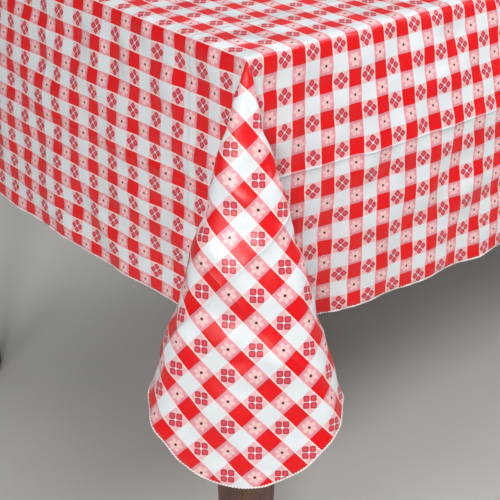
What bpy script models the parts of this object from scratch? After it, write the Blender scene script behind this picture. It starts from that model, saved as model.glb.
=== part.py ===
"""A rectangular table with a checked, flannel-backed cloth hanging over its edges.

Metres, +Z up.  The origin is on the floor under the middle of the table, +X runs along
the table's length.  The cloth is cut to the table's size plus the same drop all round,
so each corner holds a square of spare cloth, which hangs as one broad fold.
"""
import math

import bmesh
import bpy
import numpy as np

# Driving dimensions of the table
TABLE_LENGTH = 1.219
TABLE_WIDTH = 0.762
TABLE_HEIGHT = 0.750
TOP_THICKNESS = 0.024
LIPPING_WIDTH = 0.018
EDGE_RADIUS = 0.008
LEG_SIZE = 0.060
LEG_FOOT_SIZE = 0.042
LEG_INSET = 0.014
LEG_CHAMFER = 0.014
APRON_HEIGHT = 0.085
APRON_THICKNESS = 0.020
APRON_SETBACK = 0.005

# Driving dimensions of the cloth
CLOTH_LENGTH = 1.778
CLOTH_WIDTH = 1.321
HEM_CORNER_RADIUS = 0.085
VINYL_THICKNESS = 0.0010
FLANNEL_THICKNESS = 0.0010
THREAD_RADIUS = 0.0012
CREASE_SOFTNESS = 0.005
EDGE_EASE = 0.0025
CLOTH_LIFT = 0.0015

# How far each side leans out from upright, above and below a packing crease.  The lean
# fades out towards the table's corners, where the fold holds the side in.
CREASE_DROP = 0.112
END_LEAN = (math.radians(9.6), math.radians(3.6))
LONG_SIDE_LEAN = (math.radians(17.5), math.radians(5.5))
LEAN_FADE = 0.160

# Fittings
GAP = 0.0003
BOLT_RADIUS = 0.004
BOLT_LENGTH = 0.072
BRACKET_THICKNESS = 0.002
BRACKET_HEIGHT = 0.050
BRACKET_REACH = 0.075
KERF_DEPTH = 0.008
CLIP_WIDTH = 0.018
CLIP_DROP = 0.012
SCREW_RADIUS = 0.0020
PAD_RADIUS = 0.014
PAD_THICKNESS = 0.006
SOCKET_RADIUS = 0.008
SOCKET_LENGTH = 0.030
FLANGE_THICKNESS = 0.002

UNDERSIDE_Z = TABLE_HEIGHT - TOP_THICKNESS
APRON_TOP_Z = UNDERSIDE_Z - GAP
FLANGE_TOP_Z = PAD_THICKNESS + GAP + FLANGE_THICKNESS
LEG_BOTTOM_Z = FLANGE_TOP_Z + GAP
LEG_X = TABLE_LENGTH / 2 - LEG_INSET - LEG_SIZE / 2
LEG_Y = TABLE_WIDTH / 2 - LEG_INSET - LEG_SIZE / 2
APRON_INNER = LEG_SIZE / 2 - APRON_SETBACK - APRON_THICKNESS
BOLT_Z = APRON_TOP_Z - APRON_HEIGHT / 2

# Each corner's name, and the quarter turn that brings the (+X, +Y) corner there
CORNERS = {"back_right": 0, "back_left": 1, "front_left": 2, "front_right": 3}

PARTS = "tablecloth_on_table"
CUTTERS = "cutters"


# ---------------------------------------------------------------- scene helpers

def clear_scene():
    """Remove every object and make the two collections."""
    for obj in list(bpy.data.objects):
        bpy.data.objects.remove(obj, do_unlink=True)
    for name in (PARTS, CUTTERS):
        collection = bpy.data.collections.new(name)
        bpy.context.scene.collection.children.link(collection)


def make_material(name, color, roughness, metallic=0.0):
    """A Principled material in one colour."""
    material = bpy.data.materials.new(name)
    material.use_nodes = True
    shader = material.node_tree.nodes["Principled BSDF"]
    shader.inputs["Base Color"].default_value = (*color, 1.0)
    shader.inputs["Roughness"].default_value = roughness
    shader.inputs["Metallic"].default_value = metallic
    material.diffuse_color = (*color, 1.0)
    return material


def add_object(name, data, material, location=(0, 0, 0), rotation=(0, 0, 0), parent=None):
    """Put a mesh or curve in the model's collection."""
    obj = bpy.data.objects.new(name, data)
    bpy.data.collections[PARTS].objects.link(obj)
    if material and not data.materials:
        data.materials.append(material)
    obj.location = location
    obj.rotation_euler = rotation
    obj.parent = parent
    return obj


def add_cutter(name, data, location=(0, 0, 0), rotation=(0, 0, 0), parent=None):
    """Put a cutting shape in the cutters' collection, hidden from renders."""
    cutter = bpy.data.objects.new(name, data)
    bpy.data.collections[CUTTERS].objects.link(cutter)
    cutter.location = location
    cutter.rotation_euler = rotation
    cutter.parent = parent
    cutter.hide_render = True
    cutter.display_type = "WIRE"
    return cutter


def cut(obj, cutter):
    """Take the cutter's shape out of the object."""
    boolean = obj.modifiers.new("cut_" + cutter.name, "BOOLEAN")
    boolean.operation = "DIFFERENCE"
    boolean.solver = "EXACT"
    boolean.object = cutter


def smooth(mesh):
    """Shade a round piece smooth, with its sharp edges kept."""
    mesh.shade_smooth()
    mesh.set_sharp_from_angle(angle=math.radians(35))


# ---------------------------------------------------------------- mesh helpers

def box_mesh(name, size, round_edges=None, radius=0.0, segments=3):
    """A box centred on its origin; edges whose middle passes round_edges are rounded."""
    bm = bmesh.new()
    bmesh.ops.create_cube(bm, size=1.0)
    bmesh.ops.scale(bm, vec=size, verts=bm.verts)
    if round_edges:
        chosen = [e for e in bm.edges if round_edges((e.verts[0].co + e.verts[1].co) / 2)]
        bmesh.ops.bevel(bm, geom=chosen, offset=radius, segments=segments, profile=0.5, affect="EDGES")
    mesh = bpy.data.meshes.new(name)
    bm.to_mesh(mesh)
    bm.free()
    return mesh


def boxes_mesh(name, size, centres):
    """Several equal boxes in one mesh, for use as a cutter."""
    bm = bmesh.new()
    for centre in centres:
        made = bmesh.ops.create_cube(bm, size=1.0)
        bmesh.ops.scale(bm, vec=size, verts=made["verts"])
        bmesh.ops.translate(bm, vec=centre, verts=made["verts"])
    mesh = bpy.data.meshes.new(name)
    bm.to_mesh(mesh)
    bm.free()
    return mesh


def cylinder_mesh(name, radius, depth, segments=16, centres=((0, 0, 0),)):
    """One or several upright cylinders with caps."""
    bm = bmesh.new()
    for centre in centres:
        made = bmesh.ops.create_cone(
            bm, cap_ends=True, segments=segments, radius1=radius, radius2=radius, depth=depth
        )
        bmesh.ops.translate(bm, vec=centre, verts=made["verts"])
    mesh = bpy.data.meshes.new(name)
    bm.to_mesh(mesh)
    bm.free()
    smooth(mesh)
    return mesh


def profile_mesh(name, profile, closed=False):
    """An edge chain in the XZ plane, ready for a Screw modifier or an extrusion."""
    edges = [(i, i + 1) for i in range(len(profile) - 1)]
    if closed:
        edges.append((len(profile) - 1, 0))
    mesh = bpy.data.meshes.new(name)
    mesh.from_pydata([(x, 0.0, z) for x, z in profile], edges, [])
    return mesh


def turn(obj, steps=16):
    """Turn the object's profile about its Z axis."""
    screw = obj.modifiers.new("turn", "SCREW")
    screw.steps = steps
    screw.render_steps = steps
    screw.use_merge_vertices = True
    screw.merge_threshold = 0.00005
    screw.use_smooth_shade = True


def strip_mesh(name, profile, width):
    """A bent strip: the XZ profile drawn out along Y, still without thickness."""
    bm = bmesh.new()
    rows = [
        [bm.verts.new((x, side * width / 2, z)) for x, z in profile]
        for side in (-1, 1)
    ]
    for i in range(len(profile) - 1):
        bm.faces.new((rows[0][i], rows[0][i + 1], rows[1][i + 1], rows[1][i]))
    mesh = bpy.data.meshes.new(name)
    bm.to_mesh(mesh)
    bm.free()
    return mesh


def thicken(obj, thickness, offset=0.0, even=True):
    """Give an open surface its thickness."""
    solidify = obj.modifiers.new("thickness", "SOLIDIFY")
    solidify.thickness = thickness
    solidify.offset = offset
    solidify.use_even_offset = even


# ---------------------------------------------------------------- table top

def build_top(materials):
    """The core panel and the four rounded lippings round it."""
    core_size = (
        TABLE_LENGTH - 2 * (LIPPING_WIDTH + GAP),
        TABLE_WIDTH - 2 * (LIPPING_WIDTH + GAP),
        TOP_THICKNESS,
    )
    middle_z = TABLE_HEIGHT - TOP_THICKNESS / 2
    core = add_object("top_core", box_mesh("top_core", core_size), materials["veneer"], (0, 0, middle_z))
    screw_length = 0.015
    holes = [(x, y, 0) for x, y, _ in clip_places(0.022)]
    drill = cylinder_mesh("screw_holes", SCREW_RADIUS + GAP, 2 * screw_length, 12, holes)
    cut(core, add_cutter("screw_holes", drill, (0, 0, UNDERSIDE_Z)))

    def outer_long(middle):
        """The outer edges of a lipping that runs along X, on its +Y side."""
        on_side = middle.y > LIPPING_WIDTH * 0.4
        at_end = abs(middle.x) > TABLE_LENGTH * 0.49
        return on_side or (at_end and abs(middle.z) > TOP_THICKNESS * 0.4)

    def outer_short(middle):
        """The outer edges of a lipping that runs along Y, on its +X side."""
        return middle.x > LIPPING_WIDTH * 0.4

    long_size = (TABLE_LENGTH, LIPPING_WIDTH, TOP_THICKNESS)
    short_size = (LIPPING_WIDTH, core_size[1], TOP_THICKNESS)
    long_mesh = box_mesh("long_lipping", long_size, outer_long, EDGE_RADIUS)
    short_mesh = box_mesh("short_lipping", short_size, outer_short, EDGE_RADIUS)
    long_y = (TABLE_WIDTH - LIPPING_WIDTH) / 2
    short_x = (TABLE_LENGTH - LIPPING_WIDTH) / 2
    for name, mesh, place, quarter in (
        ("lipping_back", long_mesh, (0, long_y, middle_z), 0),
        ("lipping_front", long_mesh, (0, -long_y, middle_z), 2),
        ("lipping_right", short_mesh, (short_x, 0, middle_z), 0),
        ("lipping_left", short_mesh, (-short_x, 0, middle_z), 2),
    ):
        add_object(name, mesh, materials["lipping"], place, (0, 0, quarter * math.pi / 2))


# ---------------------------------------------------------------- aprons and top clips

def clip_places(inward):
    """Where the top clips stand: x, y and the turn that points their screw end inwards.

    inward is the distance from the apron's inner face.
    """
    face_y = LEG_Y + APRON_INNER - inward
    face_x = LEG_X + APRON_INNER - inward
    spread = LEG_X * 0.62
    places = [(x, -face_y, 1) for x in (-spread, 0.0, spread)]
    places += [(x, face_y, 3) for x in (-spread, 0.0, spread)]
    places += [(-face_x, 0.0, 0), (face_x, 0.0, 2)]
    return places


def build_aprons(materials):
    """Four rails between the legs, kerfed for the corner brackets and the top clips."""
    middle_z = APRON_TOP_Z - APRON_HEIGHT / 2
    middle = LEG_SIZE / 2 - APRON_SETBACK - APRON_THICKNESS / 2
    clip_slot_z = UNDERSIDE_Z - CLIP_DROP
    slot_height = BRACKET_THICKNESS + 2 * GAP
    for name, length, turn_z, place in (
        ("apron_back", LEG_X, 0, (0, LEG_Y + middle, middle_z)),
        ("apron_front", LEG_X, 2, (0, -LEG_Y - middle, middle_z)),
        ("apron_right", LEG_Y, 3, (LEG_X + middle, 0, middle_z)),
        ("apron_left", LEG_Y, 1, (-LEG_X - middle, 0, middle_z)),
    ):
        span = 2 * (length - LEG_SIZE / 2 - GAP)
        rail = add_object(
            name,
            box_mesh(name, (span, APRON_THICKNESS, APRON_HEIGHT)),
            materials["apron"],
            place,
            (0, 0, turn_z * math.pi / 2),
        )
        inner_y = -APRON_THICKNESS / 2
        kerf_x = length - BRACKET_REACH
        kerfs = boxes_mesh(
            name + "_kerfs",
            (BRACKET_THICKNESS + 2 * GAP, 2 * KERF_DEPTH, APRON_HEIGHT * 1.2),
            [(-kerf_x, inner_y, 0), (kerf_x, inner_y, 0)],
        )
        cut(rail, add_cutter(name + "_kerfs", kerfs, parent=rail))
        spread = LEG_X * 0.62
        slot_x = (-spread, 0.0, spread) if length == LEG_X else (0.0,)
        slots = boxes_mesh(
            name + "_slots",
            (CLIP_WIDTH + 4 * GAP, 2 * KERF_DEPTH, slot_height),
            [(x, inner_y, clip_slot_z - middle_z) for x in slot_x],
        )
        cut(rail, add_cutter(name + "_slots", slots, parent=rail))


def build_top_clips(materials):
    """Stepped steel clips: a tongue in the rail's slot, a screwed tab under the top."""
    tongue_z = -CLIP_DROP
    tab_z = -GAP - BRACKET_THICKNESS / 2
    profile = [(-0.0065, tongue_z), (0.006, tongue_z), (0.010, tab_z), (0.032, tab_z)]
    strip = strip_mesh("top_clip", profile, CLIP_WIDTH)
    screw_reach = 0.022
    drill = cylinder_mesh("clip_drill", SCREW_RADIUS + GAP, 0.012, 12)
    head_z = tab_z - BRACKET_THICKNESS / 2 - GAP
    head = 0.0045
    screw_profile = [
        (0.0, head_z + 0.0145),
        (SCREW_RADIUS * 0.6, head_z + 0.0140),
        (SCREW_RADIUS, head_z + 0.0115),
        (SCREW_RADIUS, head_z),
        (head, head_z),
        (head * 0.8, head_z - 0.0018),
        (0.0, head_z - 0.0024),
    ]
    screw = profile_mesh("clip_screw", screw_profile)
    for number, (x, y, quarter) in enumerate(clip_places(0.0), start=1):
        angle = quarter * math.pi / 2
        clip = add_object(
            f"top_clip_{number}", strip, materials["zinc"], (x, y, UNDERSIDE_Z), (0, 0, angle)
        )
        thicken(clip, BRACKET_THICKNESS)
        cut(clip, add_cutter(f"clip_drill_{number}", drill, (screw_reach, 0, tab_z), parent=clip))
    for number, (x, y, _) in enumerate(clip_places(screw_reach), start=1):
        piece = add_object(f"clip_screw_{number}", screw, materials["zinc"], (x, y, UNDERSIDE_Z))
        turn(piece, 12)


# ---------------------------------------------------------------- leg corners

def leg_mesh():
    """A square leg, straight beside the rails and tapered below, its inner edge chamfered."""
    height = APRON_TOP_Z - LEG_BOTTOM_Z
    bm = bmesh.new()
    bmesh.ops.create_cube(bm, size=1.0)
    bmesh.ops.scale(bm, vec=(LEG_SIZE, LEG_SIZE, height), verts=bm.verts)
    taper_start = height / 2 - APRON_HEIGHT - 0.015
    bmesh.ops.bisect_plane(
        bm, geom=bm.verts[:] + bm.edges[:] + bm.faces[:], plane_co=(0, 0, taper_start), plane_no=(0, 0, 1)
    )
    ratio = LEG_FOOT_SIZE / LEG_SIZE
    foot = [v for v in bm.verts if v.co.z < -height * 0.49]
    bmesh.ops.scale(bm, vec=(ratio, ratio, 1.0), verts=foot)
    inner = [e for e in bm.edges if all(v.co.x < 0 and v.co.y < 0 for v in e.verts)]
    bmesh.ops.bevel(bm, geom=inner, offset=LEG_CHAMFER, segments=1, affect="EDGES")
    outer = [
        e for e in bm.edges
        if abs(e.verts[0].co.z - e.verts[1].co.z) > 0.05 and max(e.verts[0].co.x, e.verts[0].co.y) > 0.015
    ]
    bmesh.ops.bevel(bm, geom=outer, offset=0.004, segments=2, profile=0.5, affect="EDGES")
    mesh = bpy.data.meshes.new("leg")
    bm.to_mesh(mesh)
    bm.free()
    return mesh


def build_leg_corner(name, quarter, meshes, materials):
    """One leg with its corner bracket, hanger bolt, washer, nut, glide socket and glide.

    Everything hangs on an empty on the leg's axis; the (+X, +Y) side of that empty is
    the table's outside.
    """
    quarter_turn = quarter * math.pi / 2
    sign_x = 1 if quarter in (0, 3) else -1
    sign_y = 1 if quarter in (0, 1) else -1
    axis = bpy.data.objects.new(name + "_axis", None)
    bpy.data.collections[PARTS].objects.link(axis)
    axis.location = (sign_x * LEG_X, sign_y * LEG_Y, 0)
    axis.rotation_euler = (0, 0, quarter_turn)

    def along_bolt(distance):
        """The point on the bolt's line, so far inwards from the leg's axis."""
        return (-distance * math.sqrt(0.5), -distance * math.sqrt(0.5), BOLT_Z)

    bolt_turn = (0, math.pi / 2, math.pi / 4)
    middle_z = (APRON_TOP_Z + LEG_BOTTOM_Z) / 2
    leg = add_object("leg_" + name, meshes["leg"], materials["leg"], (0, 0, middle_z), parent=axis)
    bolt_start = 0.012
    hole = add_cutter("bolt_hole_" + name, meshes["bolt_hole"], along_bolt(0.060), bolt_turn, axis)
    cut(leg, hole)
    cut(leg, add_cutter("socket_hole_" + name, meshes["socket_hole"], (0, 0, LEG_BOTTOM_Z), parent=axis))

    bracket = add_object(
        "corner_bracket_" + name, meshes["bracket"], materials["zinc"], (0, 0, BOLT_Z), parent=axis
    )
    thicken(bracket, BRACKET_THICKNESS)
    cut(bracket, hole)

    bolt_middle = bolt_start + BOLT_LENGTH / 2
    add_object(
        "hanger_bolt_" + name, meshes["bolt"], materials["zinc"], along_bolt(bolt_middle), bolt_turn, axis
    )
    plate = (BRACKET_REACH + 0.001) * math.sqrt(0.5)
    washer_at = plate + BRACKET_THICKNESS / 2 + GAP
    washer = add_object(
        "washer_" + name, meshes["washer"], materials["zinc"], along_bolt(washer_at), bolt_turn, axis
    )
    turn(washer, 16)
    nut_at = washer_at + 0.0016 + GAP + 0.0034
    nut = add_object(
        "hex_nut_" + name, meshes["nut"], materials["zinc"], along_bolt(nut_at), bolt_turn, axis
    )
    cut(nut, hole)

    socket = add_object("glide_socket_" + name, meshes["socket"], materials["nylon"], parent=axis)
    turn(socket, 16)
    glide = add_object("levelling_glide_" + name, meshes["glide"], materials["glide"], parent=axis)
    turn(glide, 16)


def corner_meshes():
    """The shapes that all four leg corners share."""
    flat = BRACKET_REACH
    inner = APRON_INNER
    bracket_plan = [(-flat, inner + 0.006), (-flat, -0.001), (-0.001, -flat), (inner + 0.006, -flat)]
    bm = bmesh.new()
    rows = [
        [bm.verts.new((x, y, side * BRACKET_HEIGHT / 2)) for x, y in bracket_plan]
        for side in (-1, 1)
    ]
    for i in range(len(bracket_plan) - 1):
        bm.faces.new((rows[0][i], rows[0][i + 1], rows[1][i + 1], rows[1][i]))
    bracket = bpy.data.meshes.new("corner_bracket")
    bm.to_mesh(bracket)
    bm.free()
    bore = BOLT_RADIUS + GAP
    stem_top = SOCKET_LENGTH * 0.85
    pad_top = PAD_THICKNESS
    return {
        "leg": leg_mesh(),
        "bolt_hole": cylinder_mesh("bolt_hole", bore, 0.0966, 16),
        "socket_hole": cylinder_mesh("socket_hole", SOCKET_RADIUS + GAP, 2 * (SOCKET_LENGTH + 0.002), 16),
        "bracket": bracket,
        "bolt": cylinder_mesh("hanger_bolt", BOLT_RADIUS, BOLT_LENGTH, 16),
        "washer": profile_mesh(
            "washer", [(0.0105, 0.0), (0.0105, -0.0016), (bore, -0.0016), (bore, 0.0)], closed=True
        ),
        "nut": cylinder_mesh("hex_nut", 0.0075, 0.0065, 6),
        "socket": profile_mesh(
            "glide_socket",
            [
                (SOCKET_RADIUS, FLANGE_TOP_Z + SOCKET_LENGTH),
                (SOCKET_RADIUS, FLANGE_TOP_Z),
                (0.011, FLANGE_TOP_Z),
                (0.011, PAD_THICKNESS + GAP),
                (bore, PAD_THICKNESS + GAP),
                (bore, FLANGE_TOP_Z + SOCKET_LENGTH),
            ],
            closed=True,
        ),
        "glide": profile_mesh(
            "levelling_glide",
            [
                (0.0, stem_top),
                (BOLT_RADIUS - 0.0006, stem_top),
                (BOLT_RADIUS, stem_top - 0.001),
                (BOLT_RADIUS, pad_top),
                (PAD_RADIUS - 0.0015, pad_top),
                (PAD_RADIUS, pad_top - 0.0015),
                (PAD_RADIUS, 0.0012),
                (PAD_RADIUS - 0.0012, 0.0),
                (0.0, 0.0),
            ],
        ),
    }


# ---------------------------------------------------------------- how the cloth hangs

# Half of the corner fold's outline, seen along a line from the table's corner straight
# down: sideways (towards the first side) and outwards, as tangents of the angle at the
# corner.  It leaves the side, folds back over it, rounds the fold's edge and crosses to
# the middle of the fold's front.
FOLD_OUTLINE = (
    (-0.004, 0.004),
    (-0.029, 0.093),
    (-0.098, 0.127),
    (-0.196, 0.143),
    (-0.247, 0.141),
    (-0.262, 0.175),
    (-0.200, 0.287),
    (0.0, 0.325),
)
# The fold's front bulges from the corner down to this distance, and turns in below it
FOLD_BOW = 0.17
FOLD_BOW_REACH = 0.416
QUARTER = math.pi / 2


def smooth_curve(points, per_span=24):
    """Catmull-Rom curve through the points, mirrored in the line sideways = 0 at its end."""
    p = np.array(points)
    first = 2 * p[0] - p[1]
    past = p[-2] * (-1.0, 1.0)
    p = np.vstack([first, p, past])
    t = np.linspace(0, 1, per_span, endpoint=False)[:, None]
    spans = []
    for a, b, c, d in zip(p[:-3], p[1:-2], p[2:-1], p[3:]):
        spans.append(
            0.5 * (2 * b + (c - a) * t + (2 * a - 5 * b + 4 * c - d) * t**2 + (3 * b - a - 3 * c + d) * t**3)
        )
    return np.vstack(spans + [p[-2:-1]])


def fold_directions():
    """Angle in the flat cloth, and the direction in which it leaves the table's corner.

    The cloth doesn't stretch, so the directions are spaced along the outline as the
    angles are in the flat cloth: the whole outline is a quarter turn long.
    """
    half = smooth_curve(FOLD_OUTLINE)
    outline = np.vstack([half, (half * (-1.0, 1.0))[-2::-1]])
    for _ in range(4):
        sideways, outwards = outline.T
        across = np.column_stack([outwards - sideways, outwards + sideways]) / math.sqrt(2)
        direction = np.column_stack([across, -np.ones(len(outline))])
        direction /= np.linalg.norm(direction, axis=1)[:, None]
        steps = np.linalg.norm(np.diff(direction, axis=0), axis=1)
        outline = outline * (QUARTER / steps.sum())
    angle = np.concatenate([[0.0], np.cumsum(steps)])
    return angle * (QUARTER / angle[-1]), direction


def side_run(lean, corner_lean, past, from_corner):
    """How far out and down a side has got, so far past its edge and from the corner."""
    full = 1 - np.exp(-((from_corner / LEAN_FADE) ** 2))
    upper = np.minimum(past, CREASE_DROP)
    lower = np.maximum(past - CREASE_DROP, 0.0)
    above, below = (corner_lean + (angle - corner_lean) * full for angle in lean)
    return (
        upper * np.sin(above) + lower * np.sin(below),
        upper * np.cos(above) + lower * np.cos(below),
    )


def creased_corner(past_x, past_y, angles, directions):
    """Where a point of the cloth lies that is so far past the table's two edges.

    Flat on the top, down past one edge, and on the fold past both.
    """
    place = np.stack([past_x, past_y, np.zeros_like(past_x)], axis=-1)
    corner_lean = math.atan2(directions[0, 0], -directions[0, 2])
    for lean, axis, past, other in (
        (END_LEAN, 0, past_x, past_y),
        (LONG_SIDE_LEAN, 1, past_y, past_x),
    ):
        over = (past > 0) & (other <= 0)
        out, down = side_run(lean, corner_lean, past[over], -other[over])
        place[over, axis] = out
        place[over, 2] = -down
    both = (past_x > 0) & (past_y > 0)
    reach = np.hypot(past_x[both], past_y[both])
    angle = np.arctan2(past_y[both], past_x[both])
    for i in range(3):
        place[both, i] = reach * np.interp(angle, angles, directions[:, i])
    bow = FOLD_BOW * reach * (1 - reach / FOLD_BOW_REACH) * np.sin(2 * angle) / math.sqrt(2)
    place[both, 0] += bow
    place[both, 1] += bow
    return place


class HangingCloth:
    """Places points of the flat cloth in the hanging cloth, its creases softened.

    One corner is worked out on a fine grid, blurred by the softness of the creases, and
    read back by interpolation; the straight stretches of top and side just run on.
    """

    INSIDE = -0.300
    STEP = 0.002
    MARGIN = 0.030

    def __init__(self):
        self.half_x = TABLE_LENGTH / 2 + EDGE_EASE
        self.drop = CLOTH_LENGTH / 2 - self.half_x
        self.half_y = CLOTH_WIDTH / 2 - self.drop
        self.top_z = TABLE_HEIGHT + CLOTH_LIFT
        line = np.arange(self.INSIDE - self.MARGIN, self.drop + self.MARGIN, self.STEP)
        past_x, past_y = np.meshgrid(line, line, indexing="ij")
        place = creased_corner(past_x, past_y, *fold_directions())
        self.line = line
        self.place = self.blur(place)

    def blur(self, place):
        """Gaussian blur over the grid, along one direction and then the other."""
        sigma = CREASE_SOFTNESS / self.STEP
        span = np.arange(-int(4 * sigma), int(4 * sigma) + 1)
        weight = np.exp(-0.5 * (span / sigma) ** 2)
        weight /= weight.sum()
        edge = len(span) // 2
        for axis in (0, 1):
            margins = [(edge, edge) if i == axis else (0, 0) for i in range(3)]
            padded = np.pad(place, margins, mode="reflect", reflect_type="odd")
            place = sum(
                w * np.take(padded, range(k, k + place.shape[axis]), axis=axis)
                for k, w in enumerate(weight)
            )
        return place

    def at(self, s, t):
        """World positions of the flat cloth's points (s, t), measured from its middle."""
        past_x = np.abs(s) - self.half_x
        past_y = np.abs(t) - self.half_y
        near_x = np.maximum(past_x, self.INSIDE)
        near_y = np.maximum(past_y, self.INSIDE)
        i = (near_x - self.line[0]) / self.STEP
        j = (near_y - self.line[0]) / self.STEP
        i0 = np.clip(i.astype(int), 0, len(self.line) - 2)
        j0 = np.clip(j.astype(int), 0, len(self.line) - 2)
        fi = (i - i0)[..., None]
        fj = (j - j0)[..., None]
        grid = self.place
        place = (
            (1 - fi) * (1 - fj) * grid[i0, j0]
            + fi * (1 - fj) * grid[i0 + 1, j0]
            + (1 - fi) * fj * grid[i0, j0 + 1]
            + fi * fj * grid[i0 + 1, j0 + 1]
        )
        x = np.sign(s) * (self.half_x + place[..., 0] + past_x - near_x)
        y = np.sign(t) * (self.half_y + place[..., 1] + past_y - near_y)
        return np.stack([x, y, self.top_z + place[..., 2]], axis=-1)


# ---------------------------------------------------------------- the cloth's pieces

SIDE_ROWS = (0.006, 0.016, 0.040, 0.075, 0.115, 0.158, 0.200, 0.240)
TOP_INSETS = (0.0, 0.006, 0.014, 0.040, 0.070, 0.105, 0.145, 0.195, 0.270)
FOLD_STEPS = 18


def hem_reach(angle, drop, radius):
    """Distance from the table's corner to the rounded hem, at an angle in the flat cloth.

    The hem is straight where its ray meets the side's edge outside the rounded corner,
    and an arc about the corner's centre elsewhere.
    """
    c, s = math.cos(angle), math.sin(angle)
    straight = drop / max(c, s)
    if straight * min(c, s) <= drop - radius:
        return straight
    centre = drop - radius
    along = centre * (c + s)
    return along + math.sqrt(along**2 - 2 * centre**2 + radius**2)


def cloth_surface(cloth):
    """The cloth without thickness, as triangles, and its rim as a closed list of flat points.

    The top is a grid, each side is a strip with the same columns, and each corner is a
    fan of rays from the table's corner.
    """
    bm = bmesh.new()
    known = {}

    def vertex(s, t):
        """The vertex at a flat point, made once."""
        key = (round(s, 6), round(t, 6))
        if key not in known:
            known[key] = bm.verts.new(cloth.at(np.array(s), np.array(t)))
        return known[key]

    def face(points):
        """A face over flat points, its outside up on the table's top."""
        verts = []
        for point in points:
            v = vertex(*point)
            if v not in verts:
                verts.append(v)
        area = sum(a[0] * b[1] - b[0] * a[1] for a, b in zip([points[-1], *points], points))
        bm.faces.new(verts if area > 0 else verts[::-1])

    def columns(half):
        """The grid's lines across the top, closer together beside the edges."""
        side = [half - inset for inset in TOP_INSETS]
        return sorted([-v for v in side] + side)

    lines_x = columns(cloth.half_x)
    lines_y = columns(cloth.half_y)
    for x0, x1 in zip(lines_x, lines_x[1:]):
        for y0, y1 in zip(lines_y, lines_y[1:]):
            face([(x0, y0), (x1, y0), (x1, y1), (x0, y1)])
    rows = [0.0, *SIDE_ROWS, cloth.drop]
    for sign in (-1, 1):
        for near, far in zip(rows, rows[1:]):
            y0, y1 = sign * (cloth.half_y + near), sign * (cloth.half_y + far)
            for x0, x1 in zip(lines_x, lines_x[1:]):
                face([(x0, y0), (x1, y0), (x1, y1), (x0, y1)])
            x0, x1 = sign * (cloth.half_x + near), sign * (cloth.half_x + far)
            for y0, y1 in zip(lines_y, lines_y[1:]):
                face([(x0, y0), (x1, y0), (x1, y1), (x0, y1)])

    rays = [QUARTER * k / FOLD_STEPS for k in range(FOLD_STEPS + 1)]
    for sign_x in (-1, 1):
        for sign_y in (-1, 1):

            def point(ray, row):
                """A flat point on one ray of this corner's fan."""
                distance = row / cloth.drop * hem_reach(ray, cloth.drop, HEM_CORNER_RADIUS)
                past_x, past_y = distance * math.cos(ray), distance * math.sin(ray)
                return (sign_x * (cloth.half_x + past_x), sign_y * (cloth.half_y + past_y))

            for a, b in zip(rays, rays[1:]):
                for near, far in zip(rows, rows[1:]):
                    face([point(a, near), point(a, far), point(b, far), point(b, near)])
    bmesh.ops.triangulate(bm, faces=bm.faces[:], quad_method="SHORT_EDGE")
    bm.normal_update()
    rim = [e for e in bm.edges if e.is_boundary]
    return bm, rim


def rim_loop(rim, distance):
    """The rim's vertices in order, each moved off the cloth's edge within its surface."""
    links = {}
    for edge in rim:
        for a, b in (edge.verts, reversed(edge.verts)):
            links.setdefault(a, []).append(b)
    start = rim[0].verts[0]
    loop = [start]
    before, here = None, start
    while True:
        step = next(v for v in links[here] if v is not before)
        if step is start:
            break
        loop.append(step)
        before, here = here, step
    moved = []
    for i, v in enumerate(loop):
        tangent = (loop[(i + 1) % len(loop)].co - loop[i - 1].co).normalized()
        outward = tangent.cross(v.normal).normalized()
        inner = sum((f.calc_center_median() - v.co for f in v.link_faces), v.co * 0)
        if outward.dot(inner) > 0:
            outward.negate()
        moved.append(v.co + outward * distance)
    return moved


def build_cloth(materials):
    """The printed vinyl face, the flannel bonded behind it and the overlocked edge."""
    bm, rim = cloth_surface(HangingCloth())
    thread_line = rim_loop(rim, THREAD_RADIUS + 4 * GAP)
    surface = bpy.data.meshes.new("cloth_surface")
    bm.to_mesh(surface)
    bm.free()
    smooth(surface)
    for name, thickness, side, material in (
        ("vinyl_cover", VINYL_THICKNESS, 1, "vinyl"),
        ("flannel_backing", FLANNEL_THICKNESS, -1, "flannel"),
    ):
        layer = add_object(name, surface.copy(), materials[material])
        thicken(layer, thickness, side * (1 + GAP / thickness), even=False)
    bpy.data.meshes.remove(surface)

    thread = bpy.data.curves.new("overlock_edge", "CURVE")
    thread.dimensions = "3D"
    spline = thread.splines.new("POLY")
    spline.points.add(len(thread_line) - 1)
    for point, place in zip(spline.points, thread_line):
        point.co = (*place, 1.0)
    spline.use_cyclic_u = True
    thread.bevel_depth = THREAD_RADIUS
    thread.bevel_resolution = 1
    add_object("overlock_edge", thread, materials["thread"])


# ---------------------------------------------------------------- the whole object

def make_materials():
    """Every sub-part's own colour and finish."""
    return {
        "veneer": make_material("dark_oak_veneer", (0.075, 0.042, 0.024), 0.45),
        "lipping": make_material("dark_oak_lipping", (0.065, 0.035, 0.020), 0.42),
        "apron": make_material("dark_oak_apron", (0.070, 0.038, 0.022), 0.45),
        "leg": make_material("dark_oak_leg", (0.070, 0.038, 0.022), 0.42),
        "zinc": make_material("zinc_plated_steel", (0.55, 0.56, 0.58), 0.35, 1.0),
        "nylon": make_material("black_nylon", (0.020, 0.020, 0.022), 0.50),
        "glide": make_material("grey_nylon_glide", (0.12, 0.12, 0.13), 0.45),
        "vinyl": make_material("red_check_vinyl", (0.78, 0.10, 0.12), 0.35),
        "flannel": make_material("white_flannel", (0.80, 0.79, 0.77), 0.95),
        "thread": make_material("pale_overlock_thread", (0.85, 0.70, 0.72), 0.80),
    }


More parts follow.
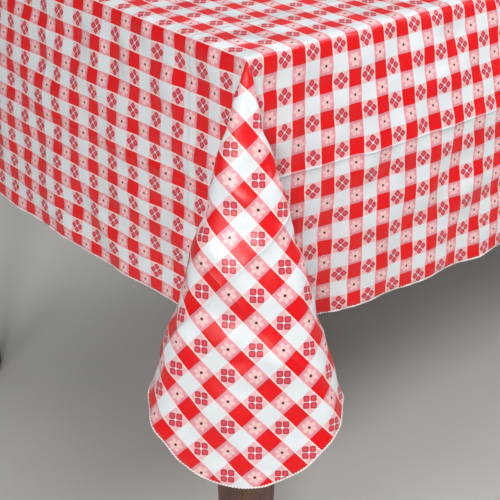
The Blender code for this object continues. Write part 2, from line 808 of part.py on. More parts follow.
def main():
    """Build the table, then lay the cloth over it."""
    clear_scene()
    materials = make_materials()
    build_top(materials)
    build_aprons(materials)
    build_top_clips(materials)
    meshes = corner_meshes()
    for name, quarter in CORNERS.items():
        build_leg_corner(name, quarter, meshes, materials)
    build_cloth(materials)


main()
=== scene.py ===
"""A tavern-check tablecloth over a rectangular oak table.

Metres, +Z up, the table's length along +X.  The cloth is a flat sheet of checks that is
hung over the table's four edges, with a broad fold at each corner, creased where it was
packed, and printed on satin vinyl with flannel behind it.  The table under it keeps its
shapes and gets its timber, steel and nylon.
"""

import logging
import math
from dataclasses import dataclass
from enum import Enum
from typing import Any, Callable, Iterable

import bpy
import numpy as np
from mathutils import Matrix, Vector


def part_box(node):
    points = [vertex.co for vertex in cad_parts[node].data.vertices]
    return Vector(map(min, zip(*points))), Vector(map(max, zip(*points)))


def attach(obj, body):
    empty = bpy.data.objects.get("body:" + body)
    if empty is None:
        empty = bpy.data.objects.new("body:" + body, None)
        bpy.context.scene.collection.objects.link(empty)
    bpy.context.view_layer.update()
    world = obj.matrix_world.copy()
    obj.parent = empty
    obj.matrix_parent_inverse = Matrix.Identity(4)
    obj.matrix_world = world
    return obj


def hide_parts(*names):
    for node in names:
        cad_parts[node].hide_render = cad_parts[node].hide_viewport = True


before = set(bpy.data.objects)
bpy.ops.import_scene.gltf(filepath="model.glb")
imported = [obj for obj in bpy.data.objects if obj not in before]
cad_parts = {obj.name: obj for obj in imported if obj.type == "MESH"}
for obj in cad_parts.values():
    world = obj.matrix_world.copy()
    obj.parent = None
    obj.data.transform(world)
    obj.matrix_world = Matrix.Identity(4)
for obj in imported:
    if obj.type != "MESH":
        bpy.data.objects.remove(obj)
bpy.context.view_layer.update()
LOG = logging.getLogger("tablecloth")
QUARTER = math.pi / 2
FLAT_MAP = "OFBake"
CORD_MAP = "along_and_round"

Array = np.ndarray
Colour = tuple[float, float, float, float]


# ---- meshes

def grid_faces(rows: int, columns: int, closed: bool = False) -> Array:
    """Four-sided faces over a grid of vertices stored row by row.

    Args:
        rows: How many rows of vertices there are.
        columns: How many vertices each row has.
        closed: Whether the first row follows the last one and the first column the last.

    Returns:
        One row of four vertex numbers for each face.
    """
    i, j = np.meshgrid(
        np.arange(rows if closed else rows - 1),
        np.arange(columns if closed else columns - 1),
        indexing="ij",
    )
    i1, j1 = (i + 1) % rows, (j + 1) % columns
    corners = [i * columns + j, i1 * columns + j, i1 * columns + j1, i * columns + j1]
    return np.stack(corners, axis=-1).reshape(-1, 4)


def make_piece(name: str, points: Array, faces: Array, maps: dict[str, Array]) -> bpy.types.Object:
    """Build a smooth-shaded mesh object from whole arrays.

    Args:
        name: The piece's name.
        points: Vertex positions, three to a row.
        faces: Vertex numbers, four to a row.
        maps: UV maps by name, each with a place for every corner of every face.

    Returns:
        The new object, at the origin.
    """
    mesh = bpy.data.meshes.new(name)
    mesh.vertices.add(len(points))
    mesh.vertices.foreach_set("co", points.astype(np.float32).ravel())
    mesh.loops.add(faces.size)
    mesh.loops.foreach_set("vertex_index", faces.astype(np.int32).ravel())
    mesh.polygons.add(len(faces))
    mesh.polygons.foreach_set("loop_start", np.arange(0, faces.size, 4, dtype=np.int32))
    mesh.update(calc_edges=True)
    for map_name, places in maps.items():
        layer = mesh.uv_layers.new(name=map_name)
        layer.data.foreach_set("uv", places.astype(np.float32).ravel())
    mesh.validate()
    mesh.shade_smooth()
    piece = bpy.data.objects.new(name, mesh)
    bpy.context.scene.collection.objects.link(piece)
    return piece


# ---- materials

def linear(hex_colour: str, alpha: float = 1.0) -> Colour:
    """Turn an sRGB hex colour into linear values.

    Args:
        hex_colour: Six hex digits after a hash.
        alpha: The fourth value.

    Returns:
        Linear red, green, blue and alpha.
    """
    parts = [int(hex_colour[i:i + 2], 16) / 255 for i in (1, 3, 5)]
    r, g, b = (v / 12.92 if v <= 0.04045 else ((v + 0.055) / 1.055) ** 2.4 for v in parts)
    return (r, g, b, alpha)


def fill(tree: bpy.types.NodeTree, node: bpy.types.Node, inputs: dict) -> None:
    """Set a node's inputs, by name or number: sockets are linked from, values are set."""
    for key, value in inputs.items():
        if isinstance(value, bpy.types.NodeSocket):
            tree.links.new(value, node.inputs[key])
        else:
            node.inputs[key].default_value = value


def add(tree: bpy.types.NodeTree, kind: str, inputs: dict | None = None, **settings: Any) -> bpy.types.Node:
    """Add a node with its settings, its values and its links.

    Args:
        tree: The material's node tree.
        kind: The node's type, without what every shader node's type starts with.
        inputs: Values, or sockets to link from, by input name or number.
        **settings: The node's own properties.

    Returns:
        The node.
    """
    node = tree.nodes.new("ShaderNode" + kind)
    for name, value in settings.items():
        setattr(node, name, value)
    fill(tree, node, inputs or {})
    return node


def work_out(tree: bpy.types.NodeTree, known: dict, steps: Iterable[tuple]) -> None:
    """Turn rows of arithmetic into nodes.

    Args:
        tree: The material's node tree.
        known: Sockets by name; every row's result is added to it.
        steps: Rows of result, operation and operands.  An operand is a number or a name
            in known, and an operation that ends in a star is held between 0 and 1.
    """
    for result, operation, *operands in steps:
        values = {i: known[v] if isinstance(v, str) else v for i, v in enumerate(operands)}
        held = operation.endswith("*")
        node = add(tree, "Math", values, operation=operation.rstrip("*"), use_clamp=held)
        known[result] = node.outputs[0]


def within(result: str, distance: str, edge: float, soft: float) -> tuple:
    """A row of arithmetic that is 1 where distance is well under edge and 0 past it."""
    return (result, "MULTIPLY_ADD*", distance, -1.0 / soft, edge / soft)


def layered(tree: bpy.types.NodeTree, ground: Any, layers: Iterable[tuple[Any, Any]]) -> Any:
    """Lay colours over a ground, each through its own mask.

    Args:
        tree: The material's node tree.
        ground: The lowest colour, a value or a socket.
        layers: Pairs of mask socket and colour, the lowest first.

    Returns:
        The socket of the finished colour.
    """
    for mask, colour in layers:
        mix = add(tree, "Mix", {0: mask, 6: ground, 7: colour}, data_type="RGBA")
        ground = mix.outputs[2]
    return ground


class Finish:
    """A material made of nodes round one Principled shader, from its own tables.

    NOISES gives the scale and detail of each noise, steps() the arithmetic done on them,
    and LAYERS the colours over the ground, each with its mask; a colour is a hex text or
    names a field that holds one.  BUMPS gives each height's strength and distance, the
    finest first, and SHADER the other inputs, where a text names one of the results.
    """

    NOISES: dict[str, tuple[float, float]] = {}
    GROUND = ""
    LAYERS: tuple[tuple[str, str], ...] = ()
    BUMPS: tuple[tuple[str, float, float], ...] = ()
    SHADER: dict[str, Any] = {}
    name: str

    def place(self, tree: bpy.types.NodeTree) -> Any:
        """The noises' coordinates: metres, as the piece stands."""
        return add(tree, "TexCoord").outputs["Object"]

    def textures(self, tree: bpy.types.NodeTree, place: Any) -> dict:
        """Sockets by name of what isn't plain noise."""
        return {}

    def steps(self) -> list[tuple]:
        """Rows of arithmetic, as work_out takes them."""
        return []

    def material(self) -> bpy.types.Material:
        """Build the material.

        Returns:
            The material, its shader's inputs all filled.
        """
        material = bpy.data.materials.new(self.name)
        material.use_nodes = True
        tree = material.node_tree
        place = self.place(tree)
        known = self.textures(tree, place)
        for name, (scale, detail) in self.NOISES.items():
            noise = add(tree, "TexNoise", {"Vector": place, "Scale": scale, "Detail": detail})
            known[name] = noise.outputs[0]
        work_out(tree, known, self.steps())
        layers = [(known[mask], linear(getattr(self, ink, ink))) for mask, ink in self.LAYERS]
        colour = layered(tree, linear(getattr(self, self.GROUND, self.GROUND)), layers)
        shader = tree.nodes["Principled BSDF"]
        results = {key: known.get(value, value) for key, value in self.SHADER.items()}
        fill(tree, shader, {"Base Color": colour} | results)
        for height, strength, distance in self.BUMPS:
            values = {"Height": known[height], "Strength": strength, "Distance": distance}
            if shader.inputs["Normal"].is_linked:
                values["Normal"] = shader.inputs["Normal"].links[0].from_socket
            fill(tree, shader, {"Normal": add(tree, "Bump", values).outputs[0]})
        return material


def flat_place(tree: bpy.types.NodeTree, scale: tuple, start: tuple = (0.0, 0.0, 0.0)) -> Any:
    """The place in the flat cloth, scaled and moved."""
    flat = add(tree, "UVMap", uv_map=FLAT_MAP).outputs[0]
    return add(tree, "Mapping", {"Vector": flat, "Scale": scale, "Location": start}).outputs[0]


@dataclass(frozen=True)
class PrintedVinyl(Finish):
    """Flexible PVC film, gravure printed and lightly embossed.

    It gives the eye clean, saturated checks under a satin sheen: broad soft highlights on
    every roll and crease, and whites that stay a little cool.  The sizes of the print are
    parts of a check.
    """

    cell: float
    first_q: float
    first_p: float
    length: float
    width: float
    crease_rows: tuple[tuple[float, float], ...]
    crease_columns: tuple[tuple[float, float], ...]
    name: str = "gravure_printed_satin_vinyl"

    PETAL_AT = 0.272
    PETAL_CORE = 0.080 * math.sqrt(2)
    PETAL_ROUND = 0.092 * math.sqrt(2)
    PETAL_OUTLINE = 0.045
    EYE_RADIUS = 0.075
    DAISY_RADIUS = 0.385
    DAISY_PETALS = 6
    DAISY_SWING = 0.055
    DOT_RADIUS = 0.092
    SIDE_LINE_PETAL = 0.070
    SIDE_LINE_DAISY = 0.040
    END_LINE_RED = 0.045
    CREASE_FALL = 6.0

    # the screen dots of the half tones are 0.9 mm apart, the film puckers over the flannel
    # every 10 mm or so, and the embossing roll leaves a linen grain of about 0.7 mm
    NOISES = {"stipple": (1100.0, 1.0), "pucker": (85.0, 3.0), "emboss": (1400.0, 2.0)}
    GROUND = "#eaeff2"
    LAYERS = (
        ("petal_cell", "#f8b4b6"),
        ("daisy_cell", "#f18f9b"),
        ("ends", "#e66a7b"),
        ("screen", "#eaeff2"),
        ("daisy", "#fbcfcc"),
        ("veins", "#e66a7b"),
        ("dot", "#560d1e"),
        ("red", "#ee0510"),
        ("red_end", "#b00a14"),
        ("side", "#fce4de"),
        ("petal", "#a60c26"),
        ("petal_fill", "#e03c4e"),
        ("petal_heart", "#ec747e"),
        ("petal_eye", "#eaeff2"),
    )
    BUMPS = (("emboss", 0.10, 0.0002), ("pucker", 0.45, 0.0010), ("creased", 0.8, 0.0030))
    SHADER = {
        "Roughness": "rough",
        "IOR": 1.52,
        "Specular IOR Level": 0.34,
        "Coat Weight": 0.20,
        "Coat Roughness": 0.22,
    }

    def place(self, tree: bpy.types.NodeTree) -> Any:
        """The noises' coordinates: metres in the flat cloth."""
        return flat_place(tree, (self.length, self.width, 1.0))

    def textures(self, tree: bpy.types.NodeTree, place: Any) -> dict:
        """The place in checks, and ridges 20 to 80 mm apart from the cloth's packet.

        Args:
            tree: The material's node tree.
            place: The socket of the flat place in metres.

        Returns:
            Sockets of q and p, the place in checks, and of crush, the ridges.
        """
        in_cells = (self.length / self.cell, self.width / self.cell, 1.0)
        cells = flat_place(tree, in_cells, (self.first_q, self.first_p, 0.0))
        q, p, _ = add(tree, "SeparateXYZ", {0: cells}).outputs
        ridges = {"Vector": place, "Scale": 17.0, "Detail": 3.0, "Roughness": 0.55, "Lacunarity": 2.1}
        crush = add(tree, "TexNoise", ridges, noise_type="RIDGED_MULTIFRACTAL")
        return {"q": q, "p": p, "crush": crush.outputs[0]}

    def steps(self) -> list[tuple]:
        """All the arithmetic of the print and the relief."""
        return self.checks() + self.petals() + self.daisies() + self.lines() + self.relief()

    def checks(self) -> list[tuple]:
        """Tell the four kinds of check apart, and find the place in a check.

        Returns:
            Rows of arithmetic.
        """
        rows = []
        for axis, middle in (("q", "x"), ("p", "y")):
            rows += [
                (axis + "_floor", "FLOOR", axis),
                (axis + "_odd", "FLOORED_MODULO", axis + "_floor", 2.0),
                (axis + "_even", "SUBTRACT", 1.0, axis + "_odd"),
                (axis + "_part", "FRACT", axis),
                (middle, "SUBTRACT", axis + "_part", 0.5),
                (middle + "_size", "ABSOLUTE", middle),
            ]
        return rows + [
            ("red", "MULTIPLY", "q_odd", "p_odd"),
            ("petal_cell", "MULTIPLY", "q_even", "p_odd"),
            ("daisy_cell", "MULTIPLY", "q_odd", "p_even"),
            ("xx", "MULTIPLY", "x", "x"),
            ("rr", "MULTIPLY_ADD", "y", "y", "xx"),
            ("radius", "SQRT", "rr"),
        ]

    def petals(self) -> list[tuple]:
        """Four petals on the check's axes, each a rounded square stood on its corner.

        Returns:
            Rows of arithmetic.
        """
        rows = [
            ("along", "MAXIMUM", "x_size", "y_size"),
            ("across", "MINIMUM", "x_size", "y_size"),
            ("past", "SUBTRACT", "along", self.PETAL_AT),
            ("m", "ADD", "past", "across"),
            ("n", "SUBTRACT", "past", "across"),
        ]
        for side in ("m", "n"):
            rows += [
                (side + "_size", "ABSOLUTE", side),
                (side + "_over", "SUBTRACT", side + "_size", self.PETAL_CORE),
                (side + "_out", "MAXIMUM", side + "_over", 0.0),
            ]
        rows += [
            ("mm", "MULTIPLY", "m_out", "m_out"),
            ("nn", "MULTIPLY_ADD", "n_out", "n_out", "mm"),
            ("petal_far", "SQRT", "nn"),
            ("m_big", "MAXIMUM", "m_size", "n_size"),
            within("petal_all", "petal_far", self.PETAL_ROUND, 0.02),
            within("petal_in", "petal_far", self.PETAL_ROUND - self.PETAL_OUTLINE, 0.02),
            within("petal_mid", "m_big", 0.10, 0.06),
            within("eye_all", "radius", self.EYE_RADIUS, 0.03),
        ]
        for part, whole in (("petal", "all"), ("petal_fill", "in"), ("heart", "mid")):
            rows.append((part, "MULTIPLY", "petal_" + whole, "petal_cell"))
        return rows + [
            ("petal_heart", "MULTIPLY", "heart", "stipple"),
            ("petal_eye", "MULTIPLY", "eye_all", "petal_cell"),
        ]

    def daisies(self) -> list[tuple]:
        """A daisy with a dot: the radius at which it ends swings with the angle.

        Its ground darkens, in dots, towards the red checks at its two ends.

        Returns:
            Rows of arithmetic.
        """
        return [
            ("angle", "ARCTAN2", "y", "x"),
            ("turns", "MULTIPLY", "angle", float(self.DAISY_PETALS)),
            ("lobes", "COSINE", "turns"),
            ("daisy_far", "MULTIPLY_ADD", "lobes", -self.DAISY_SWING, "radius"),
            within("daisy_all", "daisy_far", self.DAISY_RADIUS, 0.09),
            ("daisy", "MULTIPLY", "daisy_all", "daisy_cell"),
            ("veins_all", "MULTIPLY_ADD*", "lobes", -3.0, -1.6),
            ("veins_dark", "MULTIPLY", "veins_all", "daisy"),
            ("veins", "MULTIPLY", "veins_dark", 0.28),
            within("dot_all", "radius", self.DOT_RADIUS, 0.03),
            ("dot", "MULTIPLY", "dot_all", "daisy_cell"),
            ("ends_all", "MULTIPLY_ADD*", "y_size", 5.0, -1.45),
            ("ends_dotted", "MULTIPLY", "ends_all", "stipple"),
            ("ends_dark", "MULTIPLY", "ends_dotted", 1.3),
            ("ends", "MULTIPLY*", "ends_dark", "daisy_cell"),
        ]

    def lines(self) -> list[tuple]:
        """Pale lines beside the flowers, a dark line at the reds' ends, and the screen.

        Returns:
            Rows of arithmetic.
        """
        return [
            ("to_side", "SUBTRACT", 0.5, "x_size"),
            within("side_wide", "to_side", self.SIDE_LINE_PETAL, 0.03),
            ("side_petal", "MULTIPLY", "side_wide", "petal_cell"),
            within("side_thin", "to_side", self.SIDE_LINE_DAISY, 0.02),
            ("side_daisy", "MULTIPLY", "side_thin", "q_odd"),
            ("side", "ADD*", "side_petal", "side_daisy"),
            ("to_end", "SUBTRACT", 0.5, "y_size"),
            within("end_all", "to_end", self.END_LINE_RED, 0.02),
            ("end_red", "MULTIPLY", "end_all", "red"),
            ("red_end", "MULTIPLY", "end_red", 0.55),
            ("screen_all", "SUBTRACT", "stipple", 0.35),
            ("screen_half", "MULTIPLY*", "screen_all", 0.9),
            ("tinted", "ADD", "petal_cell", "daisy_cell"),
            ("screen", "MULTIPLY", "screen_half", "tinted"),
        ]

    def relief(self) -> list[tuple]:
        """Arithmetic of the creased film's height, and its sheen, duller on the puckers.

        Each packing crease is a ridge that falls off as exp(-fall x distance in checks),
        and a lower one counts as further off.

        Returns:
            Rows of arithmetic.
        """
        highest = max(height for _, height in self.crease_rows + self.crease_columns)
        rows = [("far", "ADD", 9.0, 0.0)]
        for axis, creases in (("p", self.crease_rows), ("q", self.crease_columns)):
            for at, height in creases:
                rows += [
                    ("away", "SUBTRACT", axis, at),
                    ("size", "ABSOLUTE", "away"),
                    ("weak", "ADD", "size", math.log(highest / height) / self.CREASE_FALL),
                    ("far", "MINIMUM", "far", "weak"),
                ]
        return rows + [
            ("fall", "MULTIPLY", "far", -self.CREASE_FALL),
            ("fold", "EXPONENT", "fall"),
            ("crush_high", "MULTIPLY", "crush", 4.0),
            ("creased", "MULTIPLY_ADD", "fold", 0.8, "crush_high"),
            ("dull", "MULTIPLY_ADD*", "pucker", 2.5, -0.75),
            ("rough", "MULTIPLY_ADD", "dull", 0.08, 0.36),
        ]


@dataclass(frozen=True)
class BrushedFlannel(Finish):
    """Polyester flannel, brushed on one side and bonded to the film.

    It gives the eye a soft, matt, slightly warm white with a short nap and stray fibres.
    """

    length: float
    width: float
    name: str = "brushed_polyester_flannel"

    # a nap of 0.8 mm tufts, with clumps every 6 mm where it was brushed
    NOISES = {"nap": (1200.0, 3.0), "clump": (160.0, 2.0)}
    GROUND = "#d9d2c8"
    LAYERS = (("tint", "#f1ece4"),)
    BUMPS = (("height", 0.6, 0.0006),)
    SHADER = {"Roughness": 0.95, "Specular IOR Level": 0.2, "Sheen Weight": 0.35, "Sheen Roughness": 0.5}

    def place(self, tree: bpy.types.NodeTree) -> Any:
        """The noises' coordinates: metres in the flat cloth."""
        return flat_place(tree, (self.length, self.width, 1.0))

    def steps(self) -> list[tuple]:
        """The height of the nap, and where it is palest."""
        return [
            ("height", "MULTIPLY_ADD", "clump", 0.6, "nap"),
            ("tint_all", "MULTIPLY_ADD", "clump", 0.8, "nap"),
            ("tint", "MULTIPLY_ADD*", "tint_all", 1.4, -0.8),
        ]


@dataclass(frozen=True)
class OverlockThread(Finish):
    """Spun polyester thread, overlocked round the cut edge.

    It gives the eye a pale rope-like rim, white on the crowns of the stitches and pink
    where the print shows between them.
    """

    name: str = "spun_polyester_overlock_thread"

    # fibres of the spun thread, drawn 0.4 mm apart
    NOISES = {"fibre": (2500.0, 2.0), "tint": (140.0, 1.0)}
    GROUND = "#ef9aa6"
    LAYERS = (("crown", "#fdf3f1"),)
    BUMPS = (("fibre", 0.4, 0.0002),)
    SHADER = {"Roughness": 0.75, "Sheen Weight": 0.2}

    def textures(self, tree: bpy.types.NodeTree, place: Any) -> dict:
        """The place along the cord in stitches, and round it in turns."""
        u, v, _ = add(tree, "SeparateXYZ", {0: add(tree, "UVMap", uv_map=CORD_MAP).outputs[0]}).outputs
        return {"u": u, "v": v}

    def steps(self) -> list[tuple]:
        """The stitches' crowns, which lie as a helix round the cord."""
        return [
            ("lay", "SUBTRACT", "u", "v"),
            ("turn", "MULTIPLY", "lay", math.tau),
            ("wave", "COSINE", "turn"),
            ("crown_all", "MULTIPLY_ADD*", "wave", 0.7, 0.62),
            ("tint_part", "MULTIPLY_ADD*", "tint", 1.2, 0.1),
            ("crown", "MULTIPLY_ADD*", "crown_all", 0.7, "tint_part"),
        ]


class Grain(Enum):
    """The way a board's grain runs: the scales of its noises along the three axes."""

    ALONG_X = (0.06, 1.0, 1.0)
    ALONG_Y = (1.0, 0.06, 1.0)
    ALONG_Z = (1.0, 1.0, 0.06)


@dataclass(frozen=True)
class StainedOak(Finish):
    """Oak, planed, stained dark and sealed with satin lacquer.

    It gives the eye long broken streaks, darker open pores that catch no light, and an
    even satin shine between them.
    """

    grain: Grain
    name: str

    # streaks of 4 mm, and pores 1.2 mm wide and 20 mm long
    NOISES = {"streak": (260.0, 4.0), "pores": (850.0, 1.0)}
    GROUND = "#3a2115"
    LAYERS = (("tone", "#6b4128"), ("pore", "#1c0f09"))
    BUMPS = (("flat", 0.35, 0.0003),)
    SHADER = {"Roughness": "rough", "IOR": 1.5, "Coat Weight": 0.15, "Coat Roughness": 0.3}

    def place(self, tree: bpy.types.NodeTree) -> Any:
        """The noises' coordinates, drawn out along the grain."""
        place = add(tree, "TexCoord").outputs["Object"]
        return add(tree, "Mapping", {"Vector": place, "Scale": self.grain.value}).outputs[0]

    def textures(self, tree: bpy.types.NodeTree, place: Any) -> dict:
        """Growth bands of about 9 mm."""
        wave = {"Vector": place, "Scale": 22.0, "Distortion": 9.0, "Detail": 3.0, "Detail Scale": 1.6}
        return {"bands": add(tree, "TexWave", wave, bands_direction="DIAGONAL").outputs[1]}

    def steps(self) -> list[tuple]:
        """The tone of the bands and streaks, and the pores' masks."""
        return [
            ("band_part", "MULTIPLY", "bands", 0.5),
            ("tone", "MULTIPLY_ADD*", "streak", 0.8, "band_part"),
            ("pore_all", "MULTIPLY_ADD*", "pores", -9.0, 3.9),
            ("pore", "MULTIPLY", "pore_all", 0.85),
            ("flat", "SUBTRACT", 1.0, "pore"),
            ("rough", "MULTIPLY_ADD", "pore", 0.25, 0.40),
        ]


@dataclass(frozen=True)
class ZincPlate(Finish):
    """Mild steel, pressed or turned, then bright zinc plated.

    It gives the eye a cool grey metal with a faint blue and straw bloom and dull rubs.
    """

    name: str = "bright_zinc_plated_steel"

    # bloom in patches of 12 mm, rubs of 3 mm, and a matt grain of 0.5 mm
    NOISES = {"bloom": (80.0, 2.0), "rubs": (330.0, 3.0), "grain": (2000.0, 1.0)}
    GROUND = "#b9c0c8"
    LAYERS = (("tint", "#c9c3b2"),)
    BUMPS = (("grain", 0.15, 0.0001),)
    SHADER = {"Roughness": "rough", "Metallic": 1.0}

    def steps(self) -> list[tuple]:
        """Where the bloom is straw, and how dull the rubs are."""
        return [("tint", "MULTIPLY_ADD*", "bloom", 3.0, -1.0), ("rough", "MULTIPLY_ADD", "rubs", 0.3, 0.18)]


@dataclass(frozen=True)
class MouldedNylon(Finish):
    """Nylon 6, injection moulded in a spark-eroded tool.

    It gives the eye a low, even, slightly pebbled shine with paler rubbed spots.
    """

    name: str
    body: str
    rubbed: str

    # the tool's pebble is about 0.3 mm, drawn at 0.6 mm so that it shows
    NOISES = {"pebble": (1600.0, 1.0), "rubs": (220.0, 3.0)}
    GROUND = "body"
    LAYERS = (("worn", "rubbed"),)
    BUMPS = (("pebble", 0.2, 0.0002),)
    SHADER = {"Roughness": "rough", "IOR": 1.53}

    def steps(self) -> list[tuple]:
        """Where the moulding is rubbed, and how dull it is there."""
        return [("worn", "MULTIPLY_ADD*", "rubs", 4.0, -2.2), ("rough", "MULTIPLY_ADD", "rubs", 0.2, 0.38)]


@dataclass(frozen=True)
class StudioPaint(Finish):
    """Matt emulsion on a studio floor.

    It gives the eye a pale, even ground with the faintest mottle.
    """

    name: str = "pale_studio_floor"

    NOISES = {"mottle": (3.0, 2.0)}
    GROUND = "#d9d6d1"
    LAYERS = (("mottle", "#e4e1dc"),)
    SHADER = {"Roughness": 0.8}


# ---- how the cloth hangs

@dataclass(frozen=True)
class Hang:
    """How one side hangs: its lean from upright above and below a packing crease.

    The lean, in degrees, fades out towards the corner, where the fold holds the side in.
    """

    above: float
    below: float
    crease: float = 0.112
    fade: float = 0.155

    def run(self, past: Array, from_corner: Array, corner_lean: float) -> tuple[Array, Array]:
        """How far out and how far down the side has got.

        Args:
            past: Distances along the cloth from the table's edge.
            from_corner: Distances along the edge from the table's corner.
            corner_lean: The lean at the corner, in radians.

        Returns:
            The distances outwards and downwards.
        """
        full = 1 - np.exp(-((from_corner / self.fade) ** 2))
        upper, lower = np.minimum(past, self.crease), np.maximum(past - self.crease, 0.0)
        a, b = (corner_lean + (math.radians(v) - corner_lean) * full for v in (self.above, self.below))
        return upper * np.sin(a) + lower * np.sin(b), upper * np.cos(a) + lower * np.cos(b)


@dataclass(frozen=True)
class Fold:
    """One corner's fold: a cone of cloth from the table's corner.

    outline is half of the cone's section, seen along the line straight down from the
    corner: sideways and outwards, as tangents of the angle at the corner.  It leaves the
    side, folds back over it, rounds the fold's edge and crosses to the fold's middle.
    """

    outline: tuple[tuple[float, float], ...] = (
        (-0.004, 0.004),
        (-0.029, 0.093),
        (-0.098, 0.127),
        (-0.191, 0.143),
        (-0.236, 0.141),
        (-0.250, 0.175),
        (-0.200, 0.287),
        (0.0, 0.325),
    )
    bow: float = 0.174
    bow_reach: float = 0.416
    puff: float = 1.5
    puff_reach: float = 0.014
    sway: float = 0.0
    fullness: float = 1.0

    def half_outline(self, per_span: int = 24) -> Array:
        """A smooth curve through the outline's points, and on past the middle by mirror.

        Each span is a Catmull-Rom cubic: the curve passes through the points, and its
        slope at each is half the step between that point's neighbours.

        Args:
            per_span: How many steps each span is cut into.

        Returns:
            Points of the curve, two numbers to a row.
        """
        p = np.array(self.outline) * (1.0, self.fullness)
        p = np.vstack([2 * p[0] - p[1], p, p[-2] * (-1.0, 1.0)])
        t = np.linspace(0, 1, per_span, endpoint=False)[:, None]
        spans = [
            0.5 * (2 * b + (c - a) * t + (2 * a - 5 * b + 4 * c - d) * t**2 + (3 * b - a - 3 * c + d) * t**3)
            for a, b, c, d in zip(p[:-3], p[1:-2], p[2:-1], p[3:])
        ]
        return np.vstack([*spans, p[-2:-1]])

    def directions(self) -> tuple[Array, Array]:
        """Angle in the flat cloth, and the direction in which it leaves the corner.

        The cloth doesn't stretch, so the directions are spaced along the outline as the
        angles are in the flat cloth: the whole outline is a quarter turn long.

        Returns:
            The angles, and a direction of length 1 for each.
        """
        half = self.half_outline()
        outline = np.vstack([half, (half * (-1.0, 1.0))[-2::-1]])
        for _ in range(4):
            sideways, outwards = outline.T
            direction = np.column_stack([outwards - sideways, outwards + sideways]) / math.sqrt(2)
            direction = np.column_stack([direction, -np.ones(len(outline))])
            direction /= np.linalg.norm(direction, axis=1)[:, None]
            steps = np.linalg.norm(np.diff(direction, axis=0), axis=1)
            outline = outline * (QUARTER / steps.sum())
        angle = np.concatenate([[0.0], np.cumsum(steps)])
        return angle * (QUARTER / angle[-1]), direction


